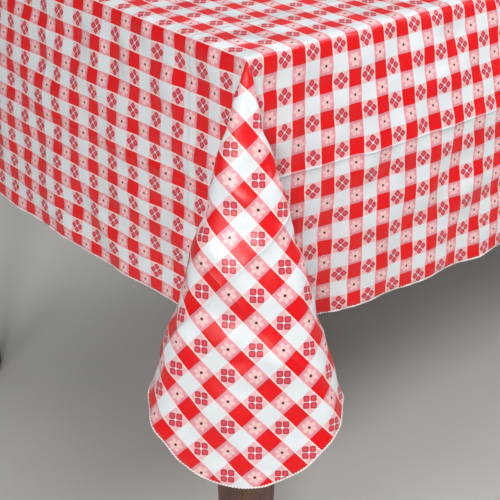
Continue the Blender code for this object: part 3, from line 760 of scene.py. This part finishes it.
class HangingCorner:
    """Places the cloth round one corner of the table, its creases softened.

    The corner is worked out on a fine grid with sharp creases, blurred by their softness,
    less where it is drawn tight over the table's corner, and read back by interpolation.
    """

    INSIDE = -0.300
    MARGIN = 0.030
    STEP = 0.002
    SOFTNESS = 0.0048
    CORNER_SOFTNESS = 0.0018
    CORNER_SIZE = 0.060

    def __init__(self, fold: Fold, side_x: Hang, side_y: Hang, drop: float) -> None:
        """Work out the corner.

        Args:
            fold: How the spare cloth folds.
            side_x: How the side past the table's end hangs.
            side_y: How the side past the table's long edge hangs.
            drop: The cloth below the edge.
        """
        self.line = np.arange(self.INSIDE - self.MARGIN, drop + self.MARGIN, self.STEP)
        past_x, past_y = np.meshgrid(self.line, self.line, indexing="ij")
        sharp = self.sharp(fold, side_x, side_y, past_x, past_y)
        far = 1 - np.exp(-((np.hypot(past_x, past_y) / self.CORNER_SIZE) ** 2))[..., None]
        soft, crisp = self.soften(sharp, self.SOFTNESS), self.soften(sharp, self.CORNER_SOFTNESS)
        self.place = far * soft + (1 - far) * crisp

    def sharp(self, fold: Fold, side_x: Hang, side_y: Hang, past_x: Array, past_y: Array) -> Array:
        """Where the cloth lies with sharp creases.

        Flat on the top, down its own lean past one edge, and past both edges the
        distance from the corner times the fold's direction, bowed outwards above and
        inwards below by a parabola, and puffed sideways close to the corner, where the
        film is too stiff to fold flat.

        Args:
            fold: How the spare cloth folds.
            side_x: How the side past the table's end hangs.
            side_y: How the side past the table's long edge hangs.
            past_x: Distances past the table's end.
            past_y: Distances past the table's long edge.

        Returns:
            Places outwards along both axes and upwards, from the table's corner.
        """
        place = np.stack([past_x, past_y, np.zeros_like(past_x)], axis=-1)
        angles, directions = fold.directions()
        corner_lean = math.atan2(directions[0, 0], -directions[0, 2])
        for side, axis, past, other in ((side_x, 0, past_x, past_y), (side_y, 1, past_y, past_x)):
            over = (past > 0) & (other <= 0)
            out, down = side.run(past[over], -other[over], corner_lean)
            place[over, axis] = out
            place[over, 2] = -down
        both = (past_x > 0) & (past_y > 0)
        reach = np.hypot(past_x[both], past_y[both])
        angle = np.arctan2(past_y[both], past_x[both])
        cone = np.column_stack([np.interp(angle, angles, d) for d in directions.T]) * reach[:, None]
        middle = np.sin(2 * angle)
        bow = fold.bow * reach * (1 - reach / fold.bow_reach) * middle / math.sqrt(2)
        sway = fold.sway * reach * np.minimum(1.0, 1.6 * middle) / math.sqrt(2)
        puff = (cone[:, 0] - cone[:, 1]) / 2 * fold.puff * np.exp(-reach / fold.puff_reach)
        cone[:, 0] += bow - sway + puff
        cone[:, 1] += bow + sway - puff
        place[both] = cone
        return place

    def soften(self, place: Array, softness: float) -> Array:
        """Gaussian blur over the grid, along one direction and then the other.

        Args:
            place: The grid of places.
            softness: The blur's standard deviation.

        Returns:
            The blurred grid.
        """
        sigma = softness / self.STEP
        span = np.arange(-int(4 * sigma), int(4 * sigma) + 1)
        weights = np.exp(-0.5 * (span / sigma) ** 2)
        weights /= weights.sum()
        edge = len(span) // 2
        for axis in (0, 1):
            margin = [(edge, edge) if i == axis else (0, 0) for i in range(3)]
            padded = np.pad(place, margin, mode="reflect", reflect_type="odd")
            place = sum(
                w * np.take(padded, range(k, k + place.shape[axis]), axis=axis)
                for k, w in enumerate(weights)
            )
        return place

    def at(self, past_x: Array, past_y: Array) -> Array:
        """Places of points of the cloth, by bilinear interpolation.

        Args:
            past_x: Distances past the table's end.
            past_y: Distances past the table's long edge.

        Returns:
            Places outwards along both axes and upwards, from the table's corner.
        """
        near_x, near_y = np.maximum(past_x, self.INSIDE), np.maximum(past_y, self.INSIDE)
        i, j = ((v - self.line[0]) / self.STEP for v in (near_x, near_y))
        i0, j0 = (np.clip(v.astype(int), 0, len(self.line) - 2) for v in (i, j))
        fi, fj = (i - i0)[..., None], (j - j0)[..., None]
        grid = self.place
        place = (
            (1 - fi) * (1 - fj) * grid[i0, j0]
            + fi * (1 - fj) * grid[i0 + 1, j0]
            + (1 - fi) * fj * grid[i0, j0 + 1]
            + fi * fj * grid[i0 + 1, j0 + 1]
        )
        place[..., 0] += past_x - near_x
        place[..., 1] += past_y - near_y
        return place


@dataclass(frozen=True)
class PackingCrease:
    """A straight crease right across the cloth, from its packet."""

    across_length: bool
    at: float
    height: float = 0.0007
    width: float = 0.004

    SWING = 0.25
    SWING_TURNS = (23.0, 40.0)
    ROUNDING = 1e-6

    def rise(self, s: Array, t: Array) -> Array:
        """A roof-shaped ridge that comes and goes a little along its length.

        Args:
            s: Flat coordinates along the length.
            t: Flat coordinates along the width.

        Returns:
            The height at each point.
        """
        away, along = (t - self.at, s) if self.across_length else (s - self.at, t)
        turn = along * self.SWING_TURNS[0] + self.at * self.SWING_TURNS[1]
        strength = 1 - self.SWING + self.SWING * np.sin(turn)
        return self.height * strength * np.exp(-np.sqrt(away**2 + self.ROUNDING) / self.width)


@dataclass(frozen=True)
class Streak:
    """A short sharp crease in the film, between two points of the flat cloth."""

    start: tuple[float, float]
    end: tuple[float, float]
    height: float = 0.0008
    width: float = 0.0035

    def rise(self, s: Array, t: Array) -> Array:
        """A ridge whose height falls off past its two ends and with the distance from it.

        Args:
            s: Flat coordinates along the length.
            t: Flat coordinates along the width.

        Returns:
            The height at each point.
        """
        a, b = np.array(self.start), np.array(self.end)
        run = b - a
        size = float(np.hypot(*run))
        along = ((s - a[0]) * run[0] + (t - a[1]) * run[1]) / size
        away = ((s - a[0]) * run[1] - (t - a[1]) * run[0]) / size
        middle = np.clip((along - size / 2) / (size / 2), -1.5, 1.5)
        taper = np.exp(-(middle**4) * 1.5)
        return self.height * taper * np.exp(-np.sqrt(away**2 + 5e-7) / self.width)


@dataclass(frozen=True)
class Wave:
    """A slow swing of one side in and out, which grows towards the hem."""

    side: int
    length: float
    phase: float
    height: float

    def rise(self, along: Array, down: Array, beyond: Array, drop: float) -> Array:
        """A sine along the side, times the 1.6th power of the way down, fading in the fold.

        Args:
            along: Distance along the side.
            down: Distance below the edge.
            beyond: Distance past the neighbouring edge, into the fold.
            drop: The whole distance to the hem.

        Returns:
            The height at each point.
        """
        depth = np.clip(down / drop, 0.0, 1.0) ** 1.6
        fade = np.exp(-((np.maximum(beyond, 0.0) / 0.035) ** 2))
        return self.height * depth * fade * np.sin(math.tau * along / self.length + self.phase)


@dataclass
class Tablecloth:
    """The cloth: a printed film, the flannel behind it and the overlocked edge."""

    length: float = 1.778
    width: float = 1.321
    hem_radius: float = 0.085
    checks_per_drop: int = 17
    ease: float = 0.0025
    lift: float = 0.0015
    film_out: float = 0.0008
    film_in: float = 0.0002
    flannel_in: float = 0.0010
    thread_radius: float = 0.0012
    stitch_pitch: float = 0.0028
    seed: int = 11

    # the packing creases' places in checks from the front left corner, and their heights
    CREASE_ROWS = (
        (-7.1, 0.0008), (4.5, 0.00035), (19.0, 0.0005), (32.0, 0.0006), (43.0, 0.0005), (54.5, 0.0007)
    )
    CREASE_COLUMNS = (
        (-8.5, 0.0005), (3.6, 0.0003), (20.0, 0.0005), (37.0, 0.0006), (54.0, 0.0005), (70.5, 0.0006)
    )

    # creases where the film was bent sharply: start and end in checks, and height
    PLACED_STREAKS = (
        ((-2.2, -1.0), (-0.8, -2.6), 0.0010),
        ((-1.4, -0.6), (-2.8, -0.9), 0.0008),
        ((-0.7, -1.6), (-1.2, -3.4), 0.0008),
        ((-3.4, -5.6), (-5.6, -3.2), 0.0009),
        ((-6.6, -7.4), (-9.4, -7.3), 0.0010),
        ((-10.4, -7.5), (-12.6, -7.3), 0.0009),
        ((3.1, -9.0), (3.9, -12.5), 0.0011),
        ((4.9, -8.2), (4.4, -11.0), 0.0009),
        ((3.4, -5.2), (5.2, -6.8), 0.0008),
        ((-1.5, 15.2), (-3.6, 16.9), 0.0013),
        ((-2.6, 15.0), (-4.4, 15.8), 0.0010),
        ((-5.0, 18.4), (-8.0, 18.9), 0.0008),
    )
    SCATTERED_STREAKS = 150
    STREAK_SIZES = (0.02, 0.07)
    STREAK_HEIGHTS = (0.0003, 0.0009)

    # slow swings: side (left, front, right, back), length, phase and height at the hem
    WAVES = (
        (0, 0.118, 0.6, 0.0010),
        (0, 0.290, 2.0, 0.0016),
        (1, 0.082, 0.9, 0.0016),
        (1, 0.210, 3.6, 0.0018),
        (2, 0.130, 1.8, 0.0014),
        (2, 0.310, 0.4, 0.0022),
        (3, 0.105, 2.6, 0.0016),
        (3, 0.260, 5.0, 0.0024),
    )

    # ripples: how many, their shortest and longest, and their height at 50 mm
    RIPPLES = 36
    RIPPLE_LENGTHS = (0.016, 0.090)
    RIPPLE_HEIGHT = 0.0016
    # their strength on the top, and what is added near a corner; the band in which they
    # grow past an edge; and how far a corner holds the cloth smooth
    RIPPLE_ON_TOP = 0.25
    RIPPLE_NEAR_CORNER = 0.8
    NEAR_CORNER = 0.050
    EDGE_BAND = 0.03
    DRAWN_TIGHT = 0.026

    # spacings of the mesh's lines below an edge, and their places inside it
    TIGHT_STEP, TIGHT_LINES = 0.0018, 20
    CLOSE_STEP, CLOSE_LINES = 0.003, 8
    DROP_LINES = 46
    EDGE_LINES = (0.0, 0.003, 0.0065, 0.0105, 0.015, 0.020)
    NEAR_TOP = (0.027, 0.300)
    NEAR_LINES = 32
    FAR_STEP = 0.026
    LAST_LINES = (0.040, 0.026, 0.015, 0.0105, 0.0065, 0.003, 0.0)

    # the overlocked cord: points round it, points to a stitch, and its swell
    ROUND_STEPS = 8
    PER_STITCH = 4
    SWELL = 0.20
    CORD_SIZE = 0.92
    CORD_INSET = 0.0003

    def __post_init__(self) -> None:
        """Take the table's size from its lippings, and hang the four corners."""
        right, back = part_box("lipping_right")[1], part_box("lipping_back")[1]
        self.half_x = right.x + self.ease
        self.half_y = back.y + self.ease
        self.top_z = right.z + self.lift
        self.drop = self.length / 2 - self.half_x
        self.cell = self.drop / self.checks_per_drop
        self.sides = {
            "left": Hang(9.6, 3.6, 0.1138, 0.168),
            "front": Hang(17.5, 5.5, 0.1108, 0.153),
            "right": Hang(8.4, 4.4),
            "back": Hang(15.0, 6.4),
        }
        self.corners = {
            (-1, -1): self.corner(Fold(sway=0.026), "left", "front"),
            (1, -1): self.corner(Fold(sway=-0.030, fullness=0.95, bow=0.15), "right", "front"),
            (-1, 1): self.corner(Fold(sway=0.015, fullness=1.04, bow=0.16), "left", "back"),
            (1, 1): self.corner(Fold(sway=-0.010, fullness=0.98, bow=0.19), "right", "back"),
        }
        self.relief = self.packing_creases() + self.streaks()
        self.waves = [Wave(*row) for row in self.WAVES]
        self.ripples = self.ripple_table()

    def corner(self, fold: Fold, end: str, long_side: str) -> HangingCorner:
        """Hang one corner between the side at the table's end and a long side."""
        return HangingCorner(fold, self.sides[end], self.sides[long_side], self.drop)

    # ---- relief

    def at_cell(self, q: float, p: float) -> tuple[float, float]:
        """The flat place of a point counted in checks from the front left corner."""
        return (q * self.cell - self.half_x, p * self.cell - self.half_y)

    def packing_creases(self) -> list:
        """The creases of a cloth packed in eight by ten panels."""
        rows = [PackingCrease(True, self.at_cell(0, p)[1], height) for p, height in self.CREASE_ROWS]
        columns = [PackingCrease(False, self.at_cell(q, 0)[0], height) for q, height in self.CREASE_COLUMNS]
        return rows + columns

    def streaks(self) -> list:
        """Short creases where the film was bent sharply.

        Returns:
            The placed ones and then the scattered ones.
        """
        made = [
            Streak(self.at_cell(*start), self.at_cell(*end), height)
            for start, end, height in self.PLACED_STREAKS
        ]
        random = np.random.default_rng(self.seed)
        for _ in range(self.SCATTERED_STREAKS):
            start = random.uniform((-self.length / 2, -self.width / 2), (self.length / 2, self.width / 2))
            turn, size = random.uniform(0, math.tau), random.uniform(*self.STREAK_SIZES)
            end = start + size * np.array([math.cos(turn), math.sin(turn)])
            made.append(Streak(tuple(start), tuple(end), random.uniform(*self.STREAK_HEIGHTS)))
        return made

    def ripple_table(self) -> Array:
        """Seeded plane waves, the longer the higher.

        Returns:
            Two wave numbers, a phase and a height in each row.
        """
        random = np.random.default_rng(self.seed + 1)
        wavelength = np.geomspace(*self.RIPPLE_LENGTHS, self.RIPPLES)
        turn = random.uniform(0, math.pi, self.RIPPLES)
        phase = random.uniform(0, math.tau, self.RIPPLES)
        height = self.RIPPLE_HEIGHT * wavelength / 0.05 / math.sqrt(self.RIPPLES)
        k = math.tau / wavelength
        return np.column_stack([k * np.cos(turn), k * np.sin(turn), phase, height])

    def rise(self, s: Array, t: Array) -> Array:
        """How far the cloth stands proud of its smooth hang.

        The sum of the creases and streaks, the sides' slow waves, and ripples that are
        strongest near each table corner and faint on the flat top.  All of it fades out at
        the corner itself, where the cloth is drawn tight.

        Args:
            s: Flat coordinates along the length.
            t: Flat coordinates along the width.

        Returns:
            Distances along the outward normal.
        """
        past_x, past_y = np.abs(s) - self.half_x, np.abs(t) - self.half_y
        total = sum(feature.rise(s, t) for feature in self.relief)
        sides = [(s < 0, past_x, t, past_y), (t < 0, past_y, s, past_x)]
        sides += [(s > 0, past_x, t, past_y), (t > 0, past_y, s, past_x)]
        for wave in self.waves:
            on_side, down, along, beyond = sides[wave.side]
            total = total + np.where(on_side & (down > 0), wave.rise(along, down, beyond, self.drop), 0.0)
        to_corner = np.hypot(past_x, past_y)
        hanging = np.clip(np.maximum(past_x, past_y) / self.EDGE_BAND, 0.0, 1.0)
        near = self.RIPPLE_NEAR_CORNER * np.exp(-((to_corner / self.NEAR_CORNER) ** 2))
        strength = self.RIPPLE_ON_TOP + (1 - self.RIPPLE_ON_TOP) * hanging + near
        ripple = sum(h * np.sin(a * s + b * t + c) for a, b, c, h in self.ripples)
        return (total + strength * ripple) * (1 - np.exp(-((to_corner / self.DRAWN_TIGHT) ** 2)))

    # ---- placing

    def smooth_place(self, s: Array, t: Array) -> Array:
        """Place points of the flat cloth in its smooth hang.

        Args:
            s: Flat coordinates along the length.
            t: Flat coordinates along the width.

        Returns:
            Positions, three to a row.
        """
        past_x, past_y = np.abs(s) - self.half_x, np.abs(t) - self.half_y
        sign_x, sign_y = np.where(s < 0, -1.0, 1.0), np.where(t < 0, -1.0, 1.0)
        place = np.zeros(np.shape(s) + (3,))
        for (x, y), corner in self.corners.items():
            here = (sign_x == x) & (sign_y == y)
            place[here] = corner.at(past_x[here], past_y[here])
        place[..., 0] = sign_x * (self.half_x + place[..., 0])
        place[..., 1] = sign_y * (self.half_y + place[..., 1])
        place[..., 2] += self.top_z
        return place

    def normals_of(self, place: Callable[[Array, Array], Array], s: Array, t: Array) -> Array:
        """Outward normals: the cross product of small steps along the flat cloth's axes.

        Args:
            place: The function that places flat points.
            s: Flat coordinates along the length.
            t: Flat coordinates along the width.

        Returns:
            Directions of length 1.
        """
        step = 0.001
        along_s = place(s + step, t) - place(s - step, t)
        along_t = place(s, t + step) - place(s, t - step)
        normal = np.cross(along_s, along_t)
        return normal / np.linalg.norm(normal, axis=-1)[..., None]

    def place(self, s: Array, t: Array) -> Array:
        """Where points of the flat cloth lie: the smooth hang, raised by its relief."""
        raised = self.rise(s, t)[..., None] * self.normals_of(self.smooth_place, s, t)
        return self.smooth_place(s, t) + raised

    def lines(self, half: float) -> Array:
        """The grid's lines across one direction of the cloth.

        Closest just below both edges, where the folds begin, close down to the hem and
        over the first 0.30 m of the top, and wider apart over the rest of it.

        Args:
            half: Half of the table's size in this direction.

        Returns:
            Flat coordinates, from one hem to the other.
        """
        start = np.arange(1, self.TIGHT_LINES + 1) * self.TIGHT_STEP
        onward = start[-1] + np.arange(1, self.CLOSE_LINES + 1) * self.CLOSE_STEP
        rest = np.linspace(onward[-1], self.drop, self.DROP_LINES + 1)[1:]
        below = np.concatenate([start, onward, rest])
        near = np.linspace(*self.NEAR_TOP, self.NEAR_LINES)
        far = 2 * half - 0.060
        middle = np.linspace(near[-1], far, 2 + int((far - near[-1]) / self.FAR_STEP))[1:]
        inside = np.concatenate([self.EDGE_LINES, near, middle, 2 * half - np.array(self.LAST_LINES)])
        return np.concatenate([-half - below[::-1], inside - half, half + below])

    def flat_grid(self) -> tuple[Array, Array]:
        """The grid's flat coordinates, its four corners drawn in to the rounded hem.

        The square at each corner becomes a quarter disc: a point (a, b) of the unit
        square goes to (a sqrt(1 - b²/2), b sqrt(1 - a²/2)).

        Returns:
            The flat coordinates along the length and along the width.
        """
        s, t = np.meshgrid(self.lines(self.half_x), self.lines(self.half_y), indexing="ij")
        start_x = self.length / 2 - self.hem_radius
        start_y = self.width / 2 - self.hem_radius
        a = (np.abs(s) - start_x) / self.hem_radius
        b = (np.abs(t) - start_y) / self.hem_radius
        spare = (a > 0) & (b > 0)
        round_a = a * np.sqrt(np.maximum(1 - b**2 / 2, 0.0))
        round_b = b * np.sqrt(np.maximum(1 - a**2 / 2, 0.0))
        s = np.where(spare, np.sign(s) * (start_x + self.hem_radius * round_a), s)
        t = np.where(spare, np.sign(t) * (start_y + self.hem_radius * round_b), t)
        return s, t

    # ---- pieces

    def layer(self, name: str, outer: float, inner: float) -> bpy.types.Object:
        """A closed skin between two distances from the cloth's middle surface.

        Args:
            name: The piece's name.
            outer: The outer face's distance along the outward normal.
            inner: The inner face's distance, less than outer.

        Returns:
            The piece, with its flat map from 0 to 1 over the cut.
        """
        s, t = self.flat_grid()
        place, normal = self.place(s, t), self.normals_of(self.place, s, t)
        rows, columns = s.shape
        count = rows * columns
        points = np.vstack([(place + d * normal).reshape(-1, 3) for d in (outer, inner)])
        front = grid_faces(rows, columns)
        number = np.arange(count).reshape(rows, columns)
        rim = np.concatenate([number[:, 0], number[-1, 1:], number[-2::-1, -1], number[0, -2:0:-1]])
        onward = np.roll(rim, -1)
        wall = np.column_stack([rim, rim + count, onward + count, onward])
        faces = np.vstack([front, front[:, ::-1] + count, wall])
        u, v = s / self.length + 0.5, t / self.width + 0.5
        flat = np.tile(np.column_stack([u.ravel(), v.ravel()]), (2, 1))
        return make_piece(name, points, faces, {FLAT_MAP: flat[faces.ravel()]})

    def hem_line(self, step: float) -> tuple[Array, Array]:
        """Flat points along the hem: four arcs, each with the straight run after it.

        Args:
            step: The distance between points.

        Returns:
            The flat coordinates along the length and the width.
        """
        r = self.hem_radius
        a, b = self.length / 2 - r, self.width / 2 - r
        s_parts, t_parts = [], []
        for number, (corner_s, corner_t) in enumerate(((a, b), (-a, b), (-a, -b), (a, -b))):
            start = number * QUARTER
            turn = start + np.linspace(0, QUARTER, int(r * QUARTER / step), endpoint=False)
            s_parts.append(corner_s + r * np.cos(turn))
            t_parts.append(corner_t + r * np.sin(turn))
            size = 2 * (b if number % 2 else a)
            go = np.linspace(0, 1, int(size / step), endpoint=False)
            end = start + QUARTER
            s_parts.append(corner_s + r * math.cos(end) - size * go * math.sin(end))
            t_parts.append(corner_t + r * math.sin(end) + size * go * math.cos(end))
        return np.concatenate(s_parts), np.concatenate(t_parts)

    def overlock(self) -> bpy.types.Object:
        """The overlocked edge: a cord round the hem whose skin swells along a helix.

        The cord's middle lies just off the cut edge; its radius is the thread's times
        one plus a swell that turns once round the cord with every stitch.

        Returns:
            The cord, mapped in stitches along it and turns round it.
        """
        s, t = self.hem_line(self.stitch_pitch / self.PER_STITCH)
        line = self.place(s, t)
        normal = self.normals_of(self.place, s, t)
        ahead = np.roll(line, -1, axis=0) - np.roll(line, 1, axis=0)
        ahead /= np.linalg.norm(ahead, axis=1)[:, None]
        out = np.cross(ahead, normal)
        out /= np.linalg.norm(out, axis=1)[:, None]
        up = np.cross(out, ahead)
        turn = np.arange(self.ROUND_STEPS) * math.tau / self.ROUND_STEPS
        stitches = np.round(len(s) / self.PER_STITCH)
        travelled = np.arange(len(s)) / len(s) * stitches
        swell = self.SWELL * np.cos(math.tau * travelled[:, None] - turn[None, :])
        radius = self.thread_radius * (self.CORD_SIZE + swell)
        rim = line - self.CORD_INSET * out
        points = (
            rim[:, None, :]
            + (radius * np.cos(turn))[..., None] * out[:, None, :]
            + (radius * np.sin(turn))[..., None] * up[:, None, :]
        )
        rows = len(s)
        faces = grid_faces(rows, self.ROUND_STEPS, closed=True)
        i, j = np.meshgrid(np.arange(rows), np.arange(self.ROUND_STEPS), indexing="ij")
        u = np.stack([i, i + 1, i + 1, i], axis=-1) / rows * stitches
        v = np.stack([j, j, j + 1, j + 1], axis=-1) / self.ROUND_STEPS
        places = np.stack([u, v], axis=-1).reshape(-1, 2)
        return make_piece("overlock_cord", points.reshape(-1, 3), faces, {CORD_MAP: places})

    def build(self) -> None:
        vinyl = PrintedVinyl(
            self.cell,
            (self.half_x - self.length / 2) / self.cell,
            (self.half_y - self.width / 2) / self.cell,
            self.length,
            self.width,
            self.CREASE_ROWS,
            self.CREASE_COLUMNS,
        )
        cord = self.overlock()
        film = self.layer("printed_film", self.film_out, self.film_in)
        flannel = self.layer("flannel_layer", -self.film_in / 2, -self.flannel_in)
        for piece, finish, node, slot in (
            (film, vinyl, "vinyl_cover", "printed_vinyl"),
            (flannel, BrushedFlannel(self.length, self.width), "flannel_backing", "flannel"),
            (cord, OverlockThread(), "overlock_edge", "overlock_thread"),
        ):
            piece.data.materials.append(finish.material())
            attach(piece, "cloth")
            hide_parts(node)
            LOG.info("%s: %d faces", piece.name, len(piece.data.polygons))


# ---- the table

@dataclass
class Table:
    """The table's own pieces, which keep their shapes and get their finishes."""

    def finishes(self) -> list[tuple[tuple[str, ...], Finish]]:
        """Families of pieces, by the starts of their names, and their finishes.

        Returns:
            Pairs of starts and finish; the first that fits a piece is the one it gets.
        """
        return [
            (("top_core",), StainedOak(Grain.ALONG_X, "oak_veneer_dark_stained")),
            (("lipping_front", "lipping_back"), StainedOak(Grain.ALONG_X, "oak_lipping_along_length")),
            (("lipping_",), StainedOak(Grain.ALONG_Y, "oak_lipping_along_width")),
            (("apron_front", "apron_back"), StainedOak(Grain.ALONG_X, "oak_rail_along_length")),
            (("apron_",), StainedOak(Grain.ALONG_Y, "oak_rail_along_width")),
            (("leg_",), StainedOak(Grain.ALONG_Z, "oak_leg_dark_stained")),
            (("glide_socket_",), MouldedNylon("moulded_black_nylon", "#141416", "#2b2b2e")),
            (("levelling_glide_",), MouldedNylon("moulded_grey_nylon", "#5d5f63", "#7d8085")),
            (("corner_bracket_", "hanger_bolt_", "washer_", "hex_nut_", "top_clip_", "clip_"), ZincPlate()),
        ]

    def build(self) -> None:
        """Give every shown piece its material, one material for each finish."""
        made: dict[str, bpy.types.Material] = {}
        finishes = self.finishes()
        for name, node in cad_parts.items():
            if node.hide_render:
                continue
            finish = next(finish for starts, finish in finishes if name.startswith(starts))
            if finish.name not in made:
                made[finish.name] = finish.material()
            node.data.materials.clear()
            node.data.materials.append(made[finish.name])
            LOG.info("%s: %s", name, finish.name)


# ---- the studio

@dataclass
class Studio:
    """A pale floor, soft lights and the camera."""

    cloth: Tablecloth
    lens: float = 69.12
    sensor: float = 36.0
    eye_cells: tuple[float, float, float] = (-30.172, -34.791, 15.758)
    forward: tuple[float, float, float] = (0.57236, 0.64954, -0.5005)
    right: tuple[float, float, float] = (0.75552, -0.65498, 0.01398)
    shift: tuple[float, float] = (-0.003, -0.002)
    clip: tuple[float, float] = (0.02, 50.0)
    floor_half: float = 6.0

    # name, place from the table's front left corner, watts and diameter
    LIGHTS = (
        ("key", (-1.12, -0.96, 0.60), 11.5, 0.40),
        ("side", (0.91, -0.88, 0.99), 13.5, 0.45),
        ("fill", (-1.80, -0.40, 0.80), 8.0, 1.0),
        ("back", (0.60, 0.75, 1.05), 2.5, 0.5),
    )
    AIM = (0.05, 0.05, -0.12)
    CEILING_STRENGTH = 0.62
    CEILING_ANGLE = 50.0
    WORLD_STRENGTH = 0.20

    def corner(self) -> Vector:
        """The table's front left corner, at the cloth's height."""
        return Vector((-self.cloth.half_x, -self.cloth.half_y, self.cloth.top_z))

    def floor(self) -> None:
        """A wide pale floor with a faint mottle."""
        size = self.floor_half
        points = np.array([(-size, -size, 0), (size, -size, 0), (size, size, 0), (-size, size, 0)], float)
        ground = make_piece("studio_floor", points, np.array([[0, 1, 2, 3]]), {})
        ground.data.materials.append(StudioPaint().material())

    def lights(self) -> None:
        """A key by the camera, lights from the sides, a bright ceiling and a soft world."""
        for name, offset, energy, size in self.LIGHTS:
            data = bpy.data.lights.new(name, "AREA")
            data.shape = "DISK"
            data.size = size
            data.energy = energy
            light = bpy.data.objects.new(name, data)
            light.location = self.corner() + Vector(offset)
            aim = self.corner() + Vector(self.AIM) - light.location
            light.rotation_euler = aim.to_track_quat("-Z", "Y").to_euler()
            bpy.context.scene.collection.objects.link(light)
        ceiling = bpy.data.lights.new("ceiling", "SUN")
        ceiling.energy = self.CEILING_STRENGTH
        ceiling.angle = math.radians(self.CEILING_ANGLE)
        bpy.context.scene.collection.objects.link(bpy.data.objects.new("ceiling", ceiling))
        world = bpy.data.worlds.new("soft_room")
        bpy.context.scene.world = world
        world.use_nodes = True
        background = world.node_tree.nodes["Background"]
        background.inputs["Color"].default_value = linear("#f2f4f7")
        background.inputs["Strength"].default_value = self.WORLD_STRENGTH

    def camera(self) -> None:
        """Stand the camera off the front left corner and look down at it."""
        data = bpy.data.cameras.new("camera")
        data.lens = self.lens
        data.sensor_width = self.sensor
        data.shift_x, data.shift_y = self.shift
        data.clip_start, data.clip_end = self.clip
        camera = bpy.data.objects.new("camera", data)
        back = -Vector(self.forward).normalized()
        side = Vector(self.right).normalized()
        up = back.cross(side)
        turn = Matrix((side, up, back)).transposed()
        eye = self.corner() + self.cloth.cell * Vector(self.eye_cells)
        camera.matrix_world = Matrix.Translation(eye) @ turn.to_4x4()
        bpy.context.scene.collection.objects.link(camera)
        bpy.context.scene.camera = camera

    def build(self) -> None:
        """Set up the floor, the lights, the camera and the plain display of colours."""
        self.camera()
        self.floor()
        self.lights()
        bpy.context.scene.view_settings.view_transform = "Standard"


def main() -> None:
    """Build the cloth, dress the table and set up the studio."""
    logging.basicConfig(level=logging.INFO, format="%(name)s: %(message)s")
    cloth = Tablecloth()
    cloth.build()
    Table().build()
    Studio(cloth).build()


if __name__ == "__main__":
    main()
